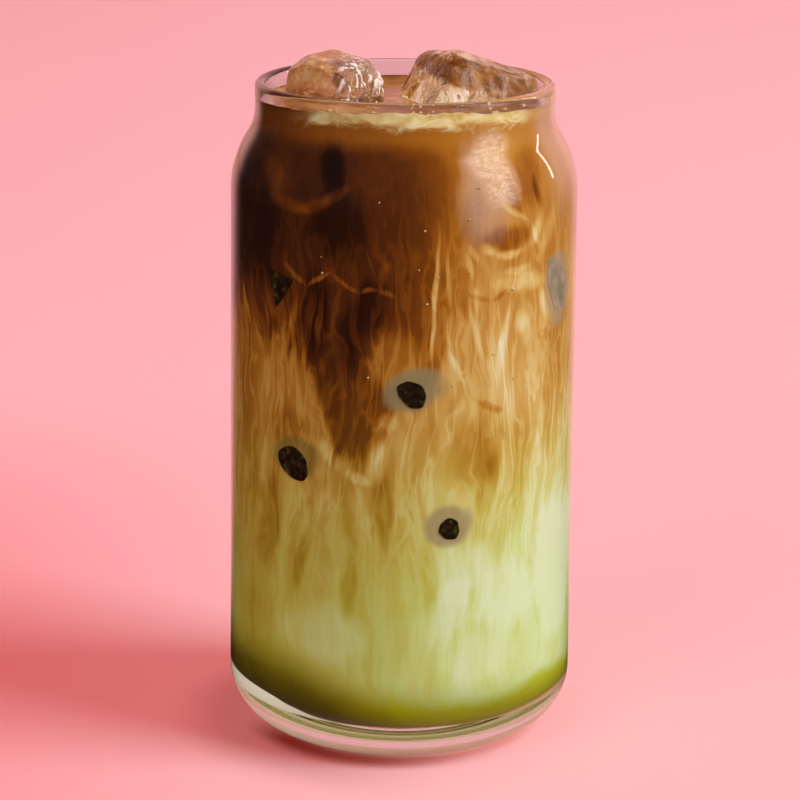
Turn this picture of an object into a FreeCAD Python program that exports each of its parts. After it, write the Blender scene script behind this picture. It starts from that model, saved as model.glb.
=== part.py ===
import FreeCAD, Part
import math
import os

import Sketcher

# A can-shaped drinking glass filled with iced milk coffee over green tea, with two ice blocks afloat.
# Millimetres, +Z up. The origin is the middle of the foot that the glass stands on, and the glass is
# turned about +Z. The drink lies face to face with the glass, the ice and its own layers.

SIZES = [
    # the glass
    ("glass_height", 144.0, "foot to rim"),
    ("body_diameter", 76.0, "outside, low on the body where it is widest"),
    ("body_taper", 1.0, "how much narrower the body is under its shoulder, on the diameter"),
    ("wall", 2.4, "glass thickness of the body, shoulder and neck"),
    ("neck_inset", 5.25, "from the top of the body in to the neck, on the radius"),
    ("neck_length", 5.6, "straight neck, rim included"),
    ("shoulder_length", 18.0, "height of the S curve from body to neck"),
    ("shoulder_hollow", 11.0, "outside radius of the hollow half of the S curve"),
    ("heel_radius", 13.0, "outside round from body to foot"),
    ("bore_heel_radius", 12.0, "inside round from body to floor"),
    ("base_thickness", 8.2, "solid glass from the table up to the floor"),
    ("foot_width", 3.0, "flat ring that the glass stands on"),
    ("punt_depth", 1.6, "hollow under the base, at its middle"),
    # the drink
    ("fill_gap", 5.0, "rim down to the surface of the drink"),
    ("coffee_depth", 36.0, "surface of the drink down to the milk, on average"),
    ("coffee_slant", 0.17, "rise of the milk towards +X, mm per mm"),
    ("coffee_ripple", 2.2, "height of the waves where coffee meets milk"),
    ("tongue_drop", 26.0, "how far the tongue of coffee hangs into the milk"),
    ("tongue_spread", 9.0, "how broad the tongue is"),
    ("tea_depth", 10.6, "floor up to the milk"),
    ("tea_ripple", 0.8, "height of the waves where milk meets tea"),
    # the ice: sizes at the design reach, which all follow the bore of the neck
    ("ice_clearance", 0.95, "least gap between the ice and the neck"),
    ("ice_design_reach", 28.9, "reach of the pair from the axis at the sizes below"),
    ("ice_rounding", 3.2, "melted edges"),
    ("ice_draft", 6.0, "degrees that a block's sides lean in towards its top"),
    ("ice_left_length", 22.0, ""),
    ("ice_left_width", 20.3, ""),
    ("ice_left_height", 25.2, ""),
    ("ice_left_side", -15.8, "centre of the block along X"),
    ("ice_left_back", 2.3, "centre of the block along Y"),
    ("ice_left_sink", 3.2, "centre of the block below the surface"),
    ("ice_left_yaw", 56.5, ""),
    ("ice_left_pitch", -2.0, ""),
    ("ice_left_roll", 9.5, ""),
    ("ice_right_length", 26.4, ""),
    ("ice_right_width", 25.0, ""),
    ("ice_right_height", 21.8, ""),
    ("ice_right_side", 13.6, "centre of the block along X"),
    ("ice_right_back", 6.0, "centre of the block along Y"),
    ("ice_right_sink", 2.2, "centre of the block below the surface"),
    ("ice_right_yaw", 21.7, ""),
    ("ice_right_pitch", 20.2, ""),
    ("ice_right_roll", -9.6, ""),
]

DERIVED = [
    ("body_low", "=body_diameter / 2", "outside radius at the heel"),
    ("body_high", "=body_low - body_taper / 2", "outside radius under the shoulder"),
    ("neck_radius", "=body_high - neck_inset", ""),
    ("neck_foot", "=glass_height - neck_length", "height where the neck starts"),
    ("shoulder_foot", "=neck_foot - shoulder_length", "height where the shoulder starts"),
    ("bore_low", "=body_low - wall", "the same radii inside"),
    ("bore_high", "=body_high - wall", ""),
    ("bore_neck", "=neck_radius - wall", ""),
    ("bore_hollow", "=shoulder_hollow + wall", "the inside runs parallel to the outside"),
    ("table", "=0", "height that the glass stands at"),
    ("lip_foot", "=glass_height - wall / 2", "height where the rim's full round starts"),
    ("level", "=glass_height - fill_gap", "surface of the drink"),
    ("ice_scale", "=(bore_neck - ice_clearance) / ice_design_reach", ""),
]

doc = FreeCAD.newDocument("IcedMilkCoffee")
sheet = doc.addObject("Spreadsheet::Sheet", "Sizes")


def fill_sheet():
    for row, (alias, value, note) in enumerate(SIZES + DERIVED, start=1):
        sheet.set(f"A{row}", alias)
        sheet.set(f"B{row}", str(value))
        sheet.set(f"C{row}", note)
        sheet.setAlias(f"B{row}", alias)
    doc.recompute()


def size(alias):
    return float(sheet.get(alias))


def vector(x, y, z=0.0):
    return FreeCAD.Vector(x, y, z)


def origin_plane(body, role):
    return next(item for item in body.Origin.OriginFeatures if item.Role == role)


def new_sketch(body, name, role):
    sketch = body.newObject("Sketcher::SketchObject", name)
    sketch.AttachmentSupport = [(origin_plane(body, role), "")]
    sketch.MapMode = "FlatFace"
    return sketch


def bind(sketch, name, constraint, expression):
    """Adds a dimension to the sketch and ties it to a cell."""
    index = sketch.addConstraint(constraint)
    sketch.renameConstraint(index, name)
    sketch.setExpression(f"Constraints.{name}", expression)


def arc(centre, radius, start, end):
    circle = Part.Circle(vector(*centre), vector(0, 0, 1), radius)
    return Part.ArcOfCircle(circle, math.radians(start), math.radians(end))


START, END, CENTRE = 1, 2, 3
AXES, ORIGIN = -1, 1


def wall_outline(sketch, side, floor, low, high, neck, heel, hollow, top):
    """Draws half a can's outline: heel, body, S-curved shoulder and neck. Returns its two end lines' indices.

    side names the constraints. The other arguments name cells, and hold for the outside and the inside alike.
    """
    floor_z, low_r, high_r, neck_r = size(floor), size(low), size(high), size(neck)
    heel_r, hollow_r, top_z = size(heel), size(hollow), size(top)
    shoulder_z, neck_z = size("shoulder_foot"), size("neck_foot")
    turn = 2 * math.atan((high_r - neck_r) / (neck_z - shoulder_z))
    swell_r = (neck_z - shoulder_z) / math.sin(turn) - hollow_r
    degrees = math.degrees(turn)

    bottom = sketch.addGeometry(
        Part.LineSegment(vector(low_r - heel_r - size("foot_width"), floor_z), vector(low_r - heel_r, floor_z)))
    heel_arc = sketch.addGeometry(arc((low_r - heel_r, floor_z + heel_r), heel_r, -90, 0))
    body = sketch.addGeometry(
        Part.LineSegment(vector(low_r, floor_z + heel_r), vector(high_r, shoulder_z)))
    swell = sketch.addGeometry(arc((high_r - swell_r, shoulder_z), swell_r, 0, degrees))
    dip = sketch.addGeometry(arc((neck_r + hollow_r, neck_z), hollow_r, 180, 180 + degrees))
    neck_line = sketch.addGeometry(Part.LineSegment(vector(neck_r, neck_z), vector(neck_r, top_z)))

    sketch.addConstraint([
        Sketcher.Constraint("Horizontal", bottom),
        Sketcher.Constraint("Tangent", bottom, END, heel_arc, START),
        Sketcher.Constraint("Tangent", heel_arc, END, body, START),
        Sketcher.Constraint("Tangent", body, END, swell, START),
        Sketcher.Constraint("Tangent", swell, END, dip, END),
        Sketcher.Constraint("Tangent", dip, START, neck_line, START),
        Sketcher.Constraint("Vertical", neck_line),
    ])
    distance = Sketcher.Constraint
    bind(sketch, f"{side}_heel", distance("Radius", heel_arc, heel_r), f"Sizes.{heel}")
    bind(sketch, f"{side}_low", distance("DistanceX", AXES, ORIGIN, body, START, low_r), f"Sizes.{low}")
    bind(sketch, f"{side}_high", distance("DistanceX", AXES, ORIGIN, body, END, high_r), f"Sizes.{high}")
    bind(sketch, f"{side}_shoulder", distance("DistanceY", AXES, ORIGIN, body, END, shoulder_z),
         "Sizes.shoulder_foot")
    bind(sketch, f"{side}_neck", distance("DistanceX", AXES, ORIGIN, neck_line, START, neck_r),
         f"Sizes.{neck}")
    bind(sketch, f"{side}_neck_foot", distance("DistanceY", AXES, ORIGIN, neck_line, START, neck_z),
         "Sizes.neck_foot")
    bind(sketch, f"{side}_hollow", distance("Radius", dip, hollow_r), f"Sizes.{hollow}")
    return bottom, neck_line


def bore_outline(sketch):
    return wall_outline(sketch, "bore", "base_thickness", "bore_low", "bore_high", "bore_neck",
                        "bore_heel_radius", "bore_hollow", "lip_foot")


def set_height(sketch, name, line, point, cell):
    bind(sketch, name, Sketcher.Constraint("DistanceY", AXES, ORIGIN, line, point, size(cell)),
         f"Sizes.{cell}")


def revolve(body, sketch):
    turned = body.newObject("PartDesign::Revolution", f"{body.Name}Turned")
    turned.Profile = sketch
    turned.ReferenceAxis = (sketch, ["V_Axis"])
    turned.Angle = 360
    sketch.Visibility = False
    return turned


def make_glass():
    """One turned section: foot ring, heel, body, shoulder, neck, full-round rim, bore, floor and punt."""
    body = doc.addObject("PartDesign::Body", "Glass")
    body.Label = "glass"
    sketch = new_sketch(body, "GlassSection", "XZ_Plane")

    foot, neck = wall_outline(sketch, "outer", "table", "body_low", "body_high", "neck_radius",
                              "heel_radius", "shoulder_hollow", "lip_foot")
    sketch.addConstraint(Sketcher.Constraint("PointOnObject", foot, START, AXES))
    bind(sketch, "foot_width",
         Sketcher.Constraint("DistanceX", foot, START, foot, END, size("foot_width")), "Sizes.foot_width")
    set_height(sketch, "lip_foot", neck, END, "lip_foot")

    floor, bore_neck = bore_outline(sketch)
    set_height(sketch, "floor", floor, START, "base_thickness")
    sketch.addConstraint(Sketcher.Constraint("PointOnObject", floor, START, -2))

    lip_radius = size("wall") / 2
    lip_centre = (size("neck_radius") - lip_radius, size("lip_foot"))
    lip = sketch.addGeometry(arc(lip_centre, lip_radius, 0, 180))
    sketch.addConstraint(Sketcher.Constraint("Tangent", neck, END, lip, START))
    sketch.addConstraint(Sketcher.Constraint("Tangent", lip, END, bore_neck, END))

    # the punt is a shallow dome, so the centre of its arc lies on the axis
    punt, foot_start = size("punt_depth"), size("body_low") - size("heel_radius") - size("foot_width")
    dome = (foot_start ** 2 + punt ** 2) / (2 * punt)
    span = math.degrees(math.asin(foot_start / dome))
    punt_arc = sketch.addGeometry(arc((0, punt - dome), dome, 90 - span, 90))
    axis_line = sketch.addGeometry(Part.LineSegment(vector(0, punt), vector(0, size("base_thickness"))))
    sketch.addConstraint([
        Sketcher.Constraint("Coincident", punt_arc, START, foot, START),
        Sketcher.Constraint("Coincident", punt_arc, END, axis_line, START),
        Sketcher.Constraint("PointOnObject", punt_arc, CENTRE, -2),
        Sketcher.Constraint("PointOnObject", axis_line, START, -2),
        Sketcher.Constraint("Coincident", axis_line, END, floor, START),
    ])
    set_height(sketch, "punt_depth", axis_line, START, "punt_depth")
    revolve(body, sketch)
    return body


def make_bore():
    """The room inside the glass up to its rim, turned from the same outline as the glass."""
    body = doc.addObject("PartDesign::Body", "Bore")
    sketch = new_sketch(body, "BoreSection", "XZ_Plane")
    floor, neck = bore_outline(sketch)
    set_height(sketch, "floor", floor, START, "base_thickness")
    set_height(sketch, "lip_foot", neck, END, "lip_foot")
    mouth = sketch.addGeometry(
        Part.LineSegment(vector(size("bore_neck"), size("lip_foot")), vector(0, size("lip_foot"))))
    axis_line = sketch.addGeometry(
        Part.LineSegment(vector(0, size("lip_foot")), vector(0, size("base_thickness"))))
    sketch.addConstraint([
        Sketcher.Constraint("PointOnObject", floor, START, -2),
        Sketcher.Constraint("Coincident", mouth, START, neck, END),
        Sketcher.Constraint("Horizontal", mouth),
        Sketcher.Constraint("Coincident", mouth, END, axis_line, START),
        Sketcher.Constraint("PointOnObject", axis_line, START, -2),
        Sketcher.Constraint("Coincident", axis_line, END, floor, START),
    ])
    revolve(body, sketch)
    return body


def ice_base(body, side):
    """The block's larger end, a rectangle about its own axis, half its height under its middle."""
    sketch = new_sketch(body, f"{body.Name}Base", "XY_Plane")
    half_x, half_y = (size(f"ice_{side}_{edge}") * size("ice_scale") / 2 for edge in ("length", "width"))
    corners = [vector(-half_x, -half_y), vector(half_x, -half_y), vector(half_x, half_y), vector(-half_x, half_y)]
    lines = [sketch.addGeometry(Part.LineSegment(corners[i], corners[(i + 1) % 4])) for i in range(4)]
    for i in range(4):
        sketch.addConstraint(Sketcher.Constraint("Coincident", lines[i], END, lines[(i + 1) % 4], START))
        sketch.addConstraint(Sketcher.Constraint("Horizontal" if i % 2 == 0 else "Vertical", lines[i]))
    sketch.addConstraint(Sketcher.Constraint("Symmetric", lines[0], START, lines[2], START, AXES, ORIGIN))
    bind(sketch, "length", Sketcher.Constraint("DistanceX", lines[0], START, lines[0], END, 2 * half_x),
         f"Sizes.ice_{side}_length * Sizes.ice_scale")
    bind(sketch, "width", Sketcher.Constraint("DistanceY", lines[1], START, lines[1], END, 2 * half_y),
         f"Sizes.ice_{side}_width * Sizes.ice_scale")
    sketch.setExpression(".AttachmentOffset.Base.z", f"-Sizes.ice_{side}_height * Sizes.ice_scale / 2")
    return sketch


def make_ice(side):
    """A drafted, round-edged block, turned and tilted as it floats, its middle just under the surface."""
    body = doc.addObject("PartDesign::Body", f"Ice{side.capitalize()}")
    body.Label = f"ice_{side}"
    block = body.newObject("PartDesign::Pad", f"{body.Name}Block")
    block.Profile = ice_base(body, side)
    block.setExpression("Length", f"Sizes.ice_{side}_height * Sizes.ice_scale")
    block.setExpression("TaperAngle", "-Sizes.ice_draft")
    doc.recompute()
    melted = body.newObject("PartDesign::Fillet", f"{body.Name}Melted")
    melted.Base = (block, [f"Edge{i + 1}" for i in range(len(block.Shape.Edges))])
    melted.setExpression("Radius", "Sizes.ice_rounding * Sizes.ice_scale")
    for angle, part in (("yaw", "Yaw"), ("pitch", "Pitch"), ("roll", "Roll")):
        body.setExpression(f".Placement.Rotation.{part}", f"Sizes.ice_{side}_{angle}")
    body.setExpression(".Placement.Base.x", f"Sizes.ice_{side}_side * Sizes.ice_scale")
    body.setExpression(".Placement.Base.y", f"Sizes.ice_{side}_back * Sizes.ice_scale")
    body.setExpression(".Placement.Base.z", f"Sizes.level - Sizes.ice_{side}_sink * Sizes.ice_scale")
    return body


def boolean(kind, name, base, tool, label=None):
    result = doc.addObject(f"Part::{kind}", name)
    result.Base, result.Tool = base, tool
    if label:
        result.Label = label
    return result


def make_room(bore, ice_blocks):
    """What the drink fills: the bore up to the surface, less the ice."""
    slab = doc.addObject("Part::Box", "BelowSurface")
    for edge in ("Length", "Width"):
        slab.setExpression(edge, "Sizes.body_diameter")
    slab.setExpression("Height", "Sizes.level")
    for axis in ("x", "y"):
        slab.setExpression(f".Placement.Base.{axis}", "-Sizes.body_low")
    room = boolean("Common", "Room", bore, slab)
    for block in ice_blocks:
        room = boolean("Cut", f"RoomBeside{block.Name}", room, block)
    return room


def wavy_block(name, height_at):
    """A block that reaches past the glass on every side, up to a wavy face through height_at(x, y)."""
    reach, count = size("body_low") * 1.05, 25
    steps = [reach * (2 * i / (count - 1) - 1) for i in range(count)]
    face = Part.BSplineSurface()
    face.interpolate([[vector(x, y, height_at(x, y)) for y in steps] for x in steps])
    block = doc.addObject("Part::Feature", name)
    block.Shape = face.toShape().extrude(vector(0, 0, -2 * size("glass_height")))
    block.Placement = FreeCAD.Placement()
    return block


def milk_top(x, y):
    """The coffee thins to one side and hangs into the milk in a broad tongue near the front."""
    front = -0.9 * size("bore_low")
    aside = -0.2 * size("bore_low")
    drop = size("tongue_drop") * math.exp(-((x - aside) ** 2 + (y - front) ** 2 / 4)
                                          / (2 * size("tongue_spread") ** 2))
    ripple = math.sin(x / 5.2 + 0.7) * math.cos(y / 7.5) + 0.6 * math.sin(x / 11 - y / 6.5)
    return size("level") - size("coffee_depth") + size("coffee_slant") * x + size("coffee_ripple") * ripple - drop


def tea_top(x, y):
    ripple = math.sin(x / 6.5 + 1.1) * math.cos(y / 8.0 - 0.4) + 0.5 * math.sin(x / 12 + y / 9)
    return size("base_thickness") + size("tea_depth") + size("tea_ripple") * ripple


def make_layers(room):
    below_coffee = wavy_block("BelowCoffee", milk_top)
    below_milk = wavy_block("BelowMilk", tea_top)
    coffee = boolean("Cut", "CoffeeLayer", room, below_coffee, "coffee_layer")
    below = boolean("Common", "MilkAndTea", room, below_coffee)
    milk = boolean("Cut", "MilkLayer", below, below_milk, "milk_layer")
    tea = boolean("Common", "GreenTeaLayer", below, below_milk, "green_tea_layer")
    return [coffee, milk, tea]


def check_model(nodes):
    for item in doc.Objects:
        if "Invalid" in item.State or "Error" in item.State:
            raise RuntimeError(f"{item.Name} did not compute: {item.State}")
    for node in nodes:
        if node.Shape.isNull() or not node.Shape.isValid() or len(node.Shape.Solids) != 1:
            raise RuntimeError(f"{node.Label} is not one valid solid")


fill_sheet()
glass = make_glass()
ice = [make_ice("left"), make_ice("right")]
doc.recompute()
layers = make_layers(make_room(make_bore(), ice))
doc.recompute()

nodes = [glass] + layers + ice
check_model(nodes)
os.makedirs("parts", exist_ok=True)
for node in nodes:
    node.Shape.exportStep(f"parts/{node.Label}.step")
    box = node.Shape.optimalBoundingBox()
    print(f"{node.Label}: {node.Shape.Volume / 1000:.1f} ml, "
          f"x {box.XMin:.1f}..{box.XMax:.1f}, y {box.YMin:.1f}..{box.YMax:.1f}, z {box.ZMin:.1f}..{box.ZMax:.1f}")
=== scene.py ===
import math
import random
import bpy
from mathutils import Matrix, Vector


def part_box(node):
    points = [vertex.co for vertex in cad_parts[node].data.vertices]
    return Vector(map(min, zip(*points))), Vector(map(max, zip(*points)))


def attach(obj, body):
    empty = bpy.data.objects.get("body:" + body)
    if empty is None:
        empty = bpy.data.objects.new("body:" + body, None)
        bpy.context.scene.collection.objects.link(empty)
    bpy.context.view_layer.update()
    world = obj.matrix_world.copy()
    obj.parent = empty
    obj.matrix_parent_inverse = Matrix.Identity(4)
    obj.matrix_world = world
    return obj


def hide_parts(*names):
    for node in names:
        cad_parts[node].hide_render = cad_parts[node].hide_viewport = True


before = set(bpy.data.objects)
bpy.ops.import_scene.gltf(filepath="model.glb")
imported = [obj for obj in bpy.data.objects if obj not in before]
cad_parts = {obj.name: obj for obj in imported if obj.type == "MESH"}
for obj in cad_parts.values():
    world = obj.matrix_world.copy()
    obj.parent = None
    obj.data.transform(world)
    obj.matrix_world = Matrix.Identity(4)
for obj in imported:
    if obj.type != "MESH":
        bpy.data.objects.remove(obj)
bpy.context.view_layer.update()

from types import SimpleNamespace

import bmesh
import bpy
from mathutils import Euler, Matrix, Vector, noise

mm = 0.001
random.seed(11)


def deselectAll():
    if bpy.context.object and bpy.context.object.mode != "OBJECT":
        bpy.ops.object.mode_set(mode="OBJECT")
    bpy.ops.object.select_all(action="DESELECT")


def makeActive(piece):
    deselectAll()
    piece.select_set(True)
    bpy.context.view_layer.objects.active = piece


def settle(piece, name):  # puts the piece's place into its mesh
    makeActive(piece)
    bpy.ops.object.transform_apply(location=True, rotation=True, scale=True)
    piece.name = piece.data.name = name
    return piece


def applyModifiers(piece):
    makeActive(piece)
    for modifier in list(piece.modifiers):
        bpy.ops.object.modifier_apply(modifier=modifier.name)


def copyOf(piece, name):
    twin = piece.copy()
    twin.data = piece.data.copy()
    bpy.context.scene.collection.objects.link(twin)
    twin.name = name
    return twin


def joinAll(pieces, name):
    deselectAll()
    for piece in pieces:
        piece.select_set(True)
    bpy.context.view_layer.objects.active = pieces[0]
    if len(pieces) > 1:
        bpy.ops.object.join()
    return settle(pieces[0], name)


def lathe(name, points, steps):  # spins an outline of (radius, height) points round the axis
    deselectAll()
    bpy.ops.mesh.primitive_plane_add(size=mm, location=(points[0][0], 0, points[0][1]))
    piece = bpy.context.object
    bpy.ops.object.transform_apply(location=True)
    bpy.ops.object.mode_set(mode="EDIT")
    bpy.ops.mesh.merge(type="CENTER")
    for (r0, z0), (r1, z1) in zip(points, points[1:]):
        bpy.ops.mesh.extrude_region_move(TRANSFORM_OT_translate={"value": (r1 - r0, 0, z1 - z0)})
    bpy.ops.mesh.select_all(action="SELECT")
    bpy.ops.mesh.spin(steps=steps, angle=2 * math.pi, center=(0, 0, 0), axis=(0, 0, 1))
    bpy.ops.mesh.select_all(action="SELECT")
    bpy.ops.mesh.remove_doubles(threshold=0.002 * mm)
    bpy.ops.mesh.normals_make_consistent(inside=False)
    bpy.ops.object.mode_set(mode="OBJECT")
    bpy.ops.object.shade_smooth()
    return settle(piece, name)


def arcPoints(centre, radius, start, end, count):
    angles = [math.radians(start + (end - start) * i / count) for i in range(count + 1)]
    return [(centre[0] + radius * math.cos(a), centre[1] + radius * math.sin(a)) for a in angles]


def finishPiece(piece, slot, *nodes):
    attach(piece, "root")
    if nodes:
        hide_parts(*nodes)


def setStops(ramp, stops):
    first, last = ramp.elements
    first.position, first.color = stops[0][0], (*stops[0][1], 1)
    last.position, last.color = stops[-1][0], (*stops[-1][1], 1)
    for place, colour in stops[1:-1]:
        ramp.elements.new(place).color = (*colour, 1)


def setBends(mapping, bends):
    points = mapping.curves[0].points
    points[0].location, points[1].location = bends[0], bends[-1]
    for place, height in bends[1:-1]:
        points.new(place, height)
    mapping.update()


class Wire:  # a value in a shader, which can be reckoned with
    def __init__(self, tree, socket=None):
        self.tree, self.socket = tree, socket

    def node(self, kind, settings=None, inputs=None, out=0):
        made = self.tree.nodes.new(kind)
        for key, value in (settings or {}).items():
            if key == "stops":
                setStops(made.color_ramp, value)
            elif key == "bends":
                setBends(made.mapping, value)
            else:
                setattr(made, key, value)
        for key, value in (inputs or {}).items():
            if isinstance(value, Wire):
                self.tree.links.new(value.socket, made.inputs[key])
            else:
                made.inputs[key].default_value = value
        return Wire(self.tree, made.outputs[out])

    def math(self, operation, *others):
        return self.node("ShaderNodeMath", {"operation": operation}, dict(enumerate((self, *others))))

    def __add__(self, other):
        return self.math("ADD", other)

    def __sub__(self, other):
        return self.math("SUBTRACT", other)

    def __rsub__(self, other):
        return self.node("ShaderNodeMath", {"operation": "SUBTRACT"}, {0: other, 1: self})

    def __mul__(self, other):
        return self.math("MULTIPLY", other)

    def __truediv__(self, other):
        return self.math("DIVIDE", other)

    __radd__, __rmul__ = __add__, __mul__

    def clamp(self):
        return self.math("MINIMUM", 1.0).math("MAXIMUM", 0.0)

    def rise(self, low, high):  # 0 below low and 1 above high; low may be the greater
        return self.node("ShaderNodeMapRange", {"interpolation_type": "SMOOTHSTEP"},
                         {"Value": self, "From Min": low, "From Max": high})

    def follow(self, *points):  # a smooth curve through (value, height) points, heights 0 to 1
        low, high = points[0][0], points[-1][0]
        bends = [((place - low) / (high - low), height) for place, height in points]
        share = self.node("ShaderNodeMapRange", {}, {"Value": self, "From Min": low, "From Max": high})
        return share.node("ShaderNodeFloatCurve", {"bends": bends}, {"Value": share})

    def colours(self, stops):
        return self.node("ShaderNodeValToRGB", {"stops": stops}, {0: self.clamp()})

    def blend(self, first, second):  # mixes two colours, each a triple or a wire, by this value
        sides = [c if isinstance(c, Wire) else (*c, 1) for c in (first, second)]
        return self.node("ShaderNodeMix", {"data_type": "RGBA"}, {0: self, 6: sides[0], 7: sides[1]}, 2)

    def mixShaders(self, first, second):
        return self.node("ShaderNodeMixShader", {}, {0: self, 1: first, 2: second})

    def vector(self, operation, *others):
        return self.node("ShaderNodeVectorMath", {"operation": operation}, dict(enumerate((self, *others))))

    def scaled(self, by):
        return self.node("ShaderNodeVectorMath", {"operation": "SCALE"}, {0: self, "Scale": by})

    def parts(self):  # the x, y and z of a vector
        split = self.node("ShaderNodeSeparateXYZ", {}, {0: self}).socket.node
        return [Wire(self.tree, split.outputs[i]) for i in range(3)]

    def grain(self, scale, detail=3.0, roughness=0.5, distortion=0.0, out=0):
        return self.node("ShaderNodeTexNoise", {}, {"Vector": self, "Scale": scale, "Detail": detail,
                                                   "Roughness": roughness, "Distortion": distortion}, out)

    def stretch(self, *scale):
        return self.node("ShaderNodeMapping", {}, {"Vector": self, "Scale": scale})

    def ridge(self):  # turns a noise into thin bright threads
        return 1.0 - ((self - 0.5) * 2.0).math("ABSOLUTE")

    def feed(self, shader, socketName):
        self.tree.links.new(self.socket, shader.inputs[socketName])


def linear(hexColour):  # a colour picked as rrggbb, in the linear values that shaders take
    parts = [int(hexColour[i:i + 2], 16) / 255 for i in (0, 2, 4)]
    return tuple(c / 12.92 if c <= 0.04045 else ((c + 0.055) / 1.055) ** 2.4 for c in parts)


def rampOf(*stops):
    return [(place, linear(hexColour)) for place, hexColour in stops]


def setInputs(shader, values):
    for socketName, value in values.items():
        shader.inputs[socketName].default_value = value


def newMaterial(name, finish):
    material = bpy.data.materials.new(name)
    material.use_nodes = True
    tree = material.node_tree
    shader = tree.nodes["Principled BSDF"]
    setInputs(shader, finish)
    return material, Wire(tree), shader


def mottledMaterial(name, scale, detail, ramp, roughness):
    material, start, shader = newMaterial(name, {"Roughness": roughness})
    objectPlace(start)[0].grain(scale, detail).colours(ramp).feed(shader, "Base Color")
    return material


def objectPlace(start):  # the place on the piece in millimetres, as a vector and as x, y and z
    place = start.node("ShaderNodeTexCoord", out=3).scaled(1 / mm)
    return place, *place.parts()


def rayIs(start, kind):  # 1 for a ray of this kind
    return start.node("ShaderNodeLightPath", out=f"Is {kind} Ray")


def clearTo(start, colour):
    return start.node("ShaderNodeBsdfTransparent", {}, {"Color": (*colour, 1)})


def passLight(start, shader, tint, cracksAndPaintedLight=None, foot=None):
    # Lets light through clear glass or ice to what lies behind. The optional film is a mask and its shader:
    # on the ice it holds white cracks, painted glints and painted refraction of the drink. foot is a mask and
    # the colour that shadows take through it.
    surface = Wire(start.tree, shader.outputs[0])
    if cracksAndPaintedLight:
        surface = cracksAndPaintedLight[0].mixShaders(surface, Wire(start.tree, cracksAndPaintedLight[1].outputs[0]))
    for kind in ("Diffuse", "Shadow"):
        through = clearTo(start, (tint, tint, tint))
        if foot and kind == "Shadow":
            through = foot[0].mixShaders(through, clearTo(start, foot[1]))
        surface = rayIs(start, kind).mixShaders(surface, through)
    start.tree.links.new(surface.socket, start.tree.nodes["Material Output"].inputs["Surface"])


glassForm = {
    "wall": 2.4 * mm,
    "bodyTaper": 0.5 * mm,       # on the radius
    "neckInset": 5.25 * mm,
    "neckLength": 5.6 * mm,
    "shoulderLength": 18 * mm,
    "shoulderHollow": 11 * mm,
    "heelRadius": 13 * mm,
    "boreHeelRadius": 12 * mm,
    "baseThickness": 8.2 * mm,
    "footWidth": 3 * mm,
    "puntDepth": 1.6 * mm,
    "steps": 192,
    "tint": 0.9,                 # share of the light that passes to what lies behind
    "footHeights": (8, 5),       # mm, from which down to which the foot darkens its shadow
    "footShade": (0.30, 0.22, 0.18),
}
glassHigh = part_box("glass")[1]
rimHeight, bodyRadius = glassHigh.z, glassHigh.x
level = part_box("coffee_layer")[1].z


def canOutline(form, inset, floor, heel, top):  # half the can's outline from its floor up, moved in by inset
    low = bodyRadius - inset
    high = low - form["bodyTaper"]
    neck = high - form["neckInset"]
    neckFoot = rimHeight - form["neckLength"]
    shoulderFoot = neckFoot - form["shoulderLength"]
    hollow = form["shoulderHollow"] + inset
    turn = 2 * math.atan2(high - neck, neckFoot - shoulderFoot)
    swell = (neckFoot - shoulderFoot) / math.sin(turn) - hollow
    degrees = math.degrees(turn)
    points = arcPoints((low - heel, floor + heel), heel, -90, 0, 20)
    rows = 24
    for i in range(1, rows):
        share = i / rows
        points.append((low + (high - low) * share, floor + heel + (shoulderFoot - floor - heel) * share))
    points += arcPoints((high - swell, shoulderFoot), swell, 0, degrees, 14)
    points += arcPoints((neck + hollow, neckFoot), hollow, 180 + degrees, 180, 10)[1:]
    points.append((neck, top))
    return points


def makeGlassMaterial(form):
    material, start, shader = newMaterial("clearGlass", {"Transmission Weight": 1, "Roughness": 0,
                                                         "IOR": 1.48})
    height = objectPlace(start)[3]
    passLight(start, shader, form["tint"], foot=(height.rise(*form["footHeights"]), form["footShade"]))
    return material


def makeGlass(form):
    wall = form["wall"]
    lipFoot = rimHeight - wall / 2
    outside = canOutline(form, 0, 0, form["heelRadius"], lipFoot)
    bore = canOutline(form, wall, form["baseThickness"], form["boreHeelRadius"], lipFoot)
    lip = arcPoints((outside[-1][0] - wall / 2, lipFoot), wall / 2, 0, 180, 12)[1:-1]
    footInside = outside[0][0] - form["footWidth"]
    punt = form["puntDepth"]
    puntRows = 10
    underside = [(footInside * i / puntRows, punt * (1 - (i / puntRows) ** 2)) for i in range(puntRows + 1)]
    floorRows = 6
    floor = [(bore[0][0] * (1 - i / floorRows), form["baseThickness"]) for i in range(1, floorRows + 1)]
    glass = lathe("drinkingGlass", underside + outside + lip + bore[::-1] + floor, form["steps"])
    glass.data.materials.append(makeGlassMaterial(form))
    finishPiece(glass, "clear_glass", "glass")


makeGlass(glassForm)
print("glass turned")

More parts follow.
